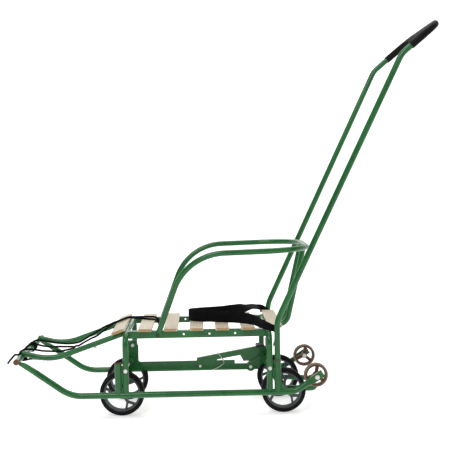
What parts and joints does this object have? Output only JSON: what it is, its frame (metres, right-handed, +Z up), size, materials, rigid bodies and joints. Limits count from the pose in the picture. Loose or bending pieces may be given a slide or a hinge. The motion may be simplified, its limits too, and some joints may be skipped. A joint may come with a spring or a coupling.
{
  "type": "wheeled sledge",
  "caption": "Child's tubular snow sledge with slatted seat, armrest hoop, removable push handle and road wheels that fold up above the runners.",
  "frame": {"origin": "on the ground under the middle of the whole length, on the centre plane, with the road wheels down", "axes": "+X points to the rear, where the push handle stands; +Z up; -Y is the child's left"},
  "size_m": [1.2055, 0.418, 1.0831],
  "materials": {
    "green_paint": "gloss",
    "birch": "satin",
    "zinc": "satin",
    "road_tyre": "matte",
    "small_tyre": "satin",
    "rim_plastic": "matte",
    "brown_plastic": "satin",
    "foam": "matte",
    "black_plastic": "satin",
    "webbing": "matte",
    "cord": "matte"
  },
  "bodies": {
    "frame": {"left_runner": "green_paint", "right_runner": "green_paint", "front_crossbar": "green_paint", "crossbar_plugs": "brown_plastic", "front_leg_hoop": "green_paint", "rear_leg_hoop": "green_paint", "left_seat_rail": "green_paint", "right_seat_rail": "green_paint", "left_footrest_tube": "green_paint", "right_footrest_tube": "green_paint", "front_handle_sockets": "green_paint", "rear_handle_sockets": "green_paint", "socket_webs": "green_paint", "socket_collars": "brown_plastic", "footrest_slat": "birch", "seat_slat_1": "birch", "seat_slat_2": "birch", "seat_slat_3": "birch", "seat_slat_4": "birch", "seat_slat_5": "birch", "back_slat": "birch", "slat_screws": "zinc", "armrest_hoop": "green_paint", "left_backrest_tube": "green_paint", "right_backrest_tube": "green_paint", "armrest_bolts": "zinc", "front_pivot_rod": "zinc", "rear_pivot_rod": "zinc", "footrest_eye": "zinc", "transport_bolts": "zinc", "belt_webbing": "webbing", "belt_buckle": "black_plastic", "pull_rope": "cord", "rope_knots": "cord"},
    "front_carriage": {"front_carrier": "green_paint", "front_axle": "zinc", "front_link_bolt": "zinc"},
    "rear_carriage": {"rear_carrier": "green_paint", "rear_foot_bar": "green_paint", "rear_axle": "zinc", "rear_link_bolt": "zinc"},
    "link": {"link_bar": "green_paint", "lever_bolt": "zinc", "lever_spring": "zinc"},
    "lever": {"lock_lever": "green_paint", "lever_pedal": "black_plastic"},
    "handle": {"handle_tube": "green_paint", "handle_grip": "foam"},
    "transport_wheel_left": {"transport_rim_left": "brown_plastic", "transport_tyre_left": "small_tyre"},
    "transport_wheel_right": {"transport_rim_right": "brown_plastic", "transport_tyre_right": "small_tyre"},
    "front_left_wheel": {"wheel_rim_front_left": "rim_plastic", "tyre_front_left": "road_tyre"},
    "front_right_wheel": {"wheel_rim_front_right": "rim_plastic", "tyre_front_right": "road_tyre"},
    "rear_left_wheel": {"wheel_rim_rear_left": "rim_plastic", "tyre_rear_left": "road_tyre"},
    "rear_right_wheel": {"wheel_rim_rear_right": "rim_plastic", "tyre_rear_right": "road_tyre"}
  },
  "joints": [
    {"name": "handle_slide", "type": "slide", "parent": "frame", "child": "handle", "axis": [0, 0, 1], "range_m": [0, 0.078]},
    {"name": "rear_retract", "type": "hinge", "parent": "frame", "child": "rear_carriage", "pos_m": [0.10672, 0, 0.141], "axis": [0, -1, 0], "range_deg": [0, 53]},
    {"name": "front_retract", "type": "hinge", "parent": "frame", "child": "front_carriage", "pos_m": [-0.28628, 0, 0.141], "axis": [0, 1, 0], "range_deg": [0, 71]},
    {"name": "link_pivot", "type": "hinge", "parent": "rear_carriage", "child": "link", "pos_m": [0.06292, 0, 0.1115], "axis": [0, -1, 0], "range_deg": [-53.5, 0]},
    {"name": "lever_pivot", "type": "hinge", "parent": "link", "child": "lever", "pos_m": [-0.08368, 0, 0.1158], "axis": [0, -1, 0], "range_deg": [0, 22], "deforming": ["lever_spring"]},
    {"name": "front_left_wheel_spin", "type": "hinge", "parent": "front_carriage", "child": "front_left_wheel", "pos_m": [-0.30378, -0.096, 0.0625], "axis": [0, 1, 0], "continuous": true},
    {"name": "front_right_wheel_spin", "type": "hinge", "parent": "front_carriage", "child": "front_right_wheel", "pos_m": [-0.30378, 0.096, 0.0625], "axis": [0, 1, 0], "continuous": true},
    {"name": "rear_left_wheel_spin", "type": "hinge", "parent": "rear_carriage", "child": "rear_left_wheel", "pos_m": [0.15022, -0.096, 0.0625], "axis": [0, 1, 0], "continuous": true},
    {"name": "rear_right_wheel_spin", "type": "hinge", "parent": "rear_carriage", "child": "rear_right_wheel", "pos_m": [0.15022, 0.096, 0.0625], "axis": [0, 1, 0], "continuous": true},
    {"name": "transport_left_spin", "type": "hinge", "parent": "frame", "child": "transport_wheel_left", "pos_m": [0.23622, -0.146, 0.113], "axis": [0, 1, 0], "continuous": true},
    {"name": "transport_right_spin", "type": "hinge", "parent": "frame", "child": "transport_wheel_right", "pos_m": [0.23622, 0.146, 0.113], "axis": [0, 1, 0], "continuous": true}
  ],
  "couplings": [
    {"joint": "front_retract", "follows": "rear_retract", "ratio": 1.33},
    {"joint": "link_pivot", "follows": "rear_retract", "ratio": -1},
    {"joint": "lever_pivot", "follows": "rear_retract", "ratio": 0.4}
  ]
}
